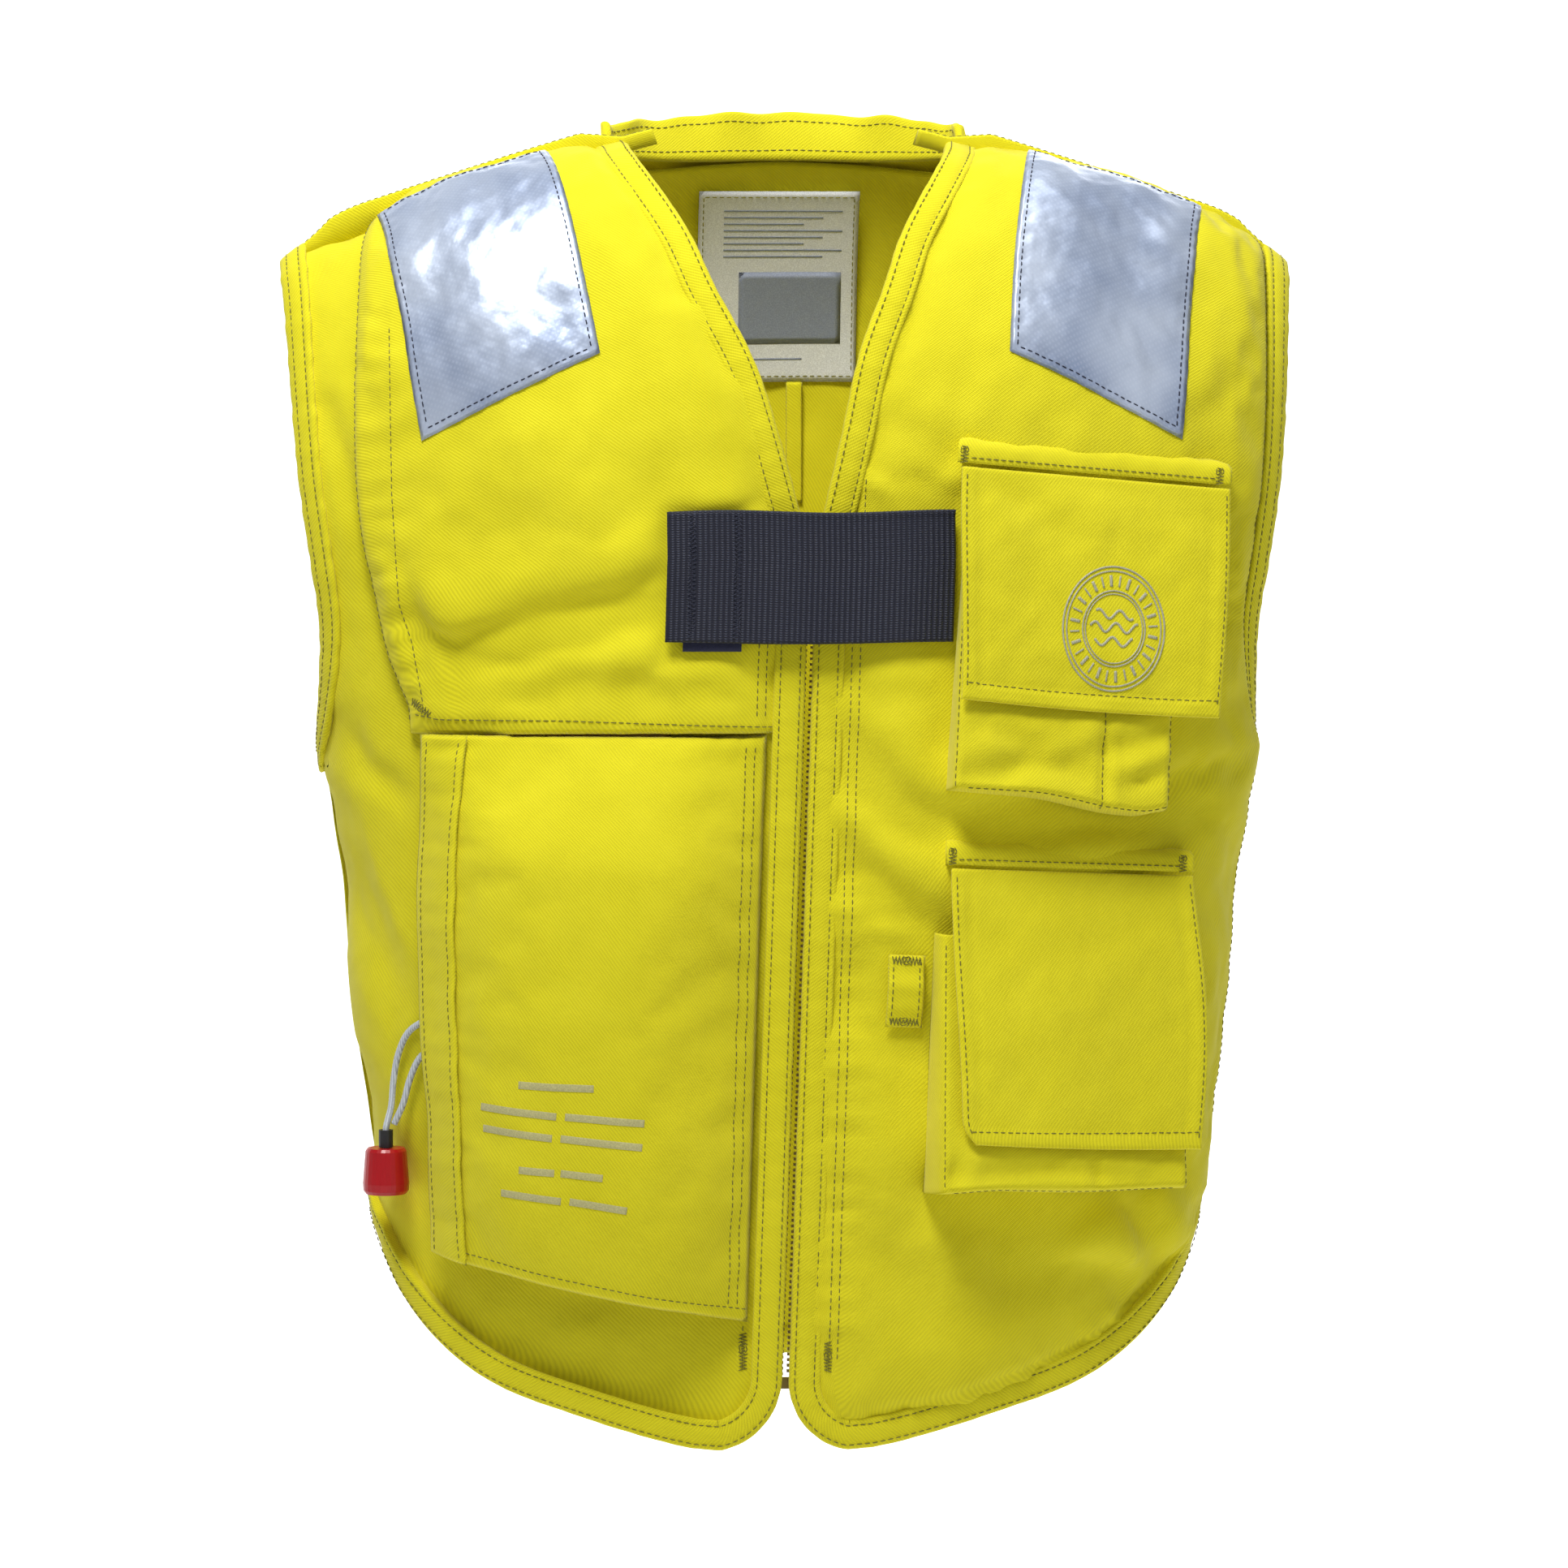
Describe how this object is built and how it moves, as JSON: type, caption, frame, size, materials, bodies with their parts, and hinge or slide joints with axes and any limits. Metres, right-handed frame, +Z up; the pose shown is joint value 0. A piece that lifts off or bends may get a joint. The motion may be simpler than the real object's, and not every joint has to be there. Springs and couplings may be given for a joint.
{
  "type": "inflatable life jacket",
  "caption": "Yellow vest-style inflatable life jacket with zip front, chest tab, two flap pockets, reflective patches and an inflator under a puffed cover with a pull toggle.",
  "frame": {"origin": "midway between the two shoulders, at the height where their undersides rest on the wearer beside the neck", "axes": "+Z up, the front faces -Y, +X towards the wearer's left hand"},
  "size_m": [0.4698, 0.2377, 0.6192],
  "materials": {
    "yellow_twill": "bright yellow polyester twill, matt",
    "yellow_lining": "yellow lining cloth, matt",
    "navy_webbing": "near-black navy ribbed webbing",
    "navy_cloth": "near-black navy hook-and-loop tape",
    "reflective_tape": "silver retroreflective tape",
    "label_cloth": "white printed label cloth, left blank",
    "bladder_film": "coated nylon film, satin",
    "black_plastic": "moulded, matt",
    "red_plastic": "moulded, satin gloss",
    "yellow_plastic": "moulded, satin",
    "white_plastic": "moulded, matt",
    "zinc_steel": "zinc plated",
    "zip_brass": "dulled brass",
    "cord_braid": "white braided cord with a blue fleck",
    "hook_and_loop": "yellow hook-and-loop tape",
    "badge_thread": "pale silver embroidery",
    "black_tube": "black rubber tube"
  },
  "bodies": {
    "vest": {"back_panel": "yellow_lining", "back_yoke": "yellow_twill", "right_front_panel": "yellow_lining", "left_front_panel": "yellow_lining", "right_chest_cover": "yellow_twill", "left_chest_cover": "yellow_twill", "right_front_binding": "yellow_twill", "left_front_binding": "yellow_twill", "back_hem_binding": "yellow_twill", "right_armhole_binding": "yellow_twill", "left_armhole_binding": "yellow_twill", "collar_band": "yellow_twill", "right_zip_tape": "yellow_twill", "left_zip_tape": "yellow_twill", "right_zip_chain": "zip_brass", "left_zip_chain": "zip_brass", "zip_bottom_stop": "zip_brass", "right_reflector": "reflective_tape", "left_reflector": "reflective_tape", "right_back_reflector": "reflective_tape", "left_back_reflector": "reflective_tape", "tab_loop_patch": "navy_cloth", "care_label": "label_cloth", "shoulder_strip": "navy_cloth", "bladder": "bladder_film", "inflator_flange": "black_plastic", "inflator_body": "black_plastic", "water_cartridge": "white_plastic", "oral_tube": "black_tube", "oral_valve_body": "black_plastic", "cover_loop_strip": "hook_and_loop", "upper_pouch": "yellow_twill", "upper_flap_header": "yellow_twill", "lower_pouch": "yellow_twill", "lower_flap_header": "yellow_twill", "tool_loop": "yellow_twill", "upper_pouch_loop_strip": "hook_and_loop", "lower_pouch_loop_strip": "hook_and_loop"},
    "chest_tab": {"chest_tab": "navy_webbing", "tab_hook_patch": "navy_cloth"},
    "upper_flap": {"upper_flap": "yellow_twill", "upper_flap_badge": "badge_thread", "upper_flap_hook_strip": "hook_and_loop"},
    "lower_flap": {"lower_flap": "yellow_twill", "lower_flap_hook_strip": "hook_and_loop"},
    "inflator_cover": {"inflator_cover": "yellow_twill", "cover_edge_strip": "yellow_twill", "cover_hook_strip": "hook_and_loop"},
    "zip_slider": {"zip_slider": "zip_brass", "zip_pull": "zip_brass"},
    "inflator_lever": {"inflator_lever": "red_plastic"},
    "lanyard": {"lanyard_front_strand": "cord_braid", "lanyard_return_strand": "cord_braid", "lanyard_sleeve": "black_plastic", "pull_toggle": "red_plastic"},
    "co2_cylinder": {"co2_cylinder": "zinc_steel"},
    "cartridge_cap": {"cartridge_cap": "yellow_plastic"},
    "oral_valve_poppet": {"oral_valve_poppet": "red_plastic"},
    "oral_valve_cap": {"oral_valve_cap": "red_plastic"}
  },
  "joints": [
    {"name": "chest_tab_hinge", "type": "hinge", "parent": "vest", "child": "chest_tab", "pos_m": [0.0722, -0.106, -0.195], "axis": [0, 0, 1], "range_deg": [0, 72]},
    {"name": "upper_flap_hinge", "type": "hinge", "parent": "vest", "child": "upper_flap", "pos_m": [0.13257, -0.09947, -0.14882], "axis": [-0.9726, -0.2156, 0.0872], "range_deg": [0, 150]},
    {"name": "lower_flap_hinge", "type": "hinge", "parent": "vest", "child": "lower_flap", "pos_m": [0.12759, -0.0984, -0.33064], "axis": [-0.973, -0.2246, 0.0523], "range_deg": [0, 122]},
    {"name": "inflator_cover_hinge", "type": "hinge", "parent": "vest", "child": "inflator_cover", "pos_m": [-0.0177, -0.0984, -0.4], "axis": [0.0329, 0, 0.9995], "range_deg": [0, 95]},
    {"name": "zip_slide", "type": "slide", "parent": "vest", "child": "zip_slider", "axis": [-0.0329, 0, -0.9995], "range_m": [0, 0.36]},
    {"name": "lanyard_pull", "type": "slide", "parent": "vest", "child": "lanyard", "axis": [0, 0, -1], "range_m": [0, 0.0168]},
    {"name": "inflator_lever_turn", "type": "hinge", "parent": "vest", "child": "inflator_lever", "pos_m": [-0.1035, -0.10727, -0.364], "axis": [0, -1, 0], "range_deg": [0, 50.5]},
    {"name": "co2_cylinder_unscrew", "type": "slide", "parent": "vest", "child": "co2_cylinder", "axis": [0, 0, -1], "range_m": [0, 0.012]},
    {"name": "cartridge_cap_turn", "type": "hinge", "parent": "vest", "child": "cartridge_cap", "pos_m": [-0.0672, -0.10727, -0.364], "axis": [1, 0, 0], "range_deg": [0, 90]},
    {"name": "oral_valve_press", "type": "slide", "parent": "vest", "child": "oral_valve_poppet", "axis": [0, 0, -1], "range_m": [0, 0.004], "stiffness_N_per_m": 300, "springref_m": -0.001},
    {"name": "oral_valve_cap_off", "type": "slide", "parent": "vest", "child": "oral_valve_cap", "axis": [0, 0, 1], "range_m": [0, 0.012]}
  ],
  "couplings": [
    {"joint": "inflator_lever_turn", "follows": "lanyard_pull", "rad_per_m": 51.944}
  ]
}
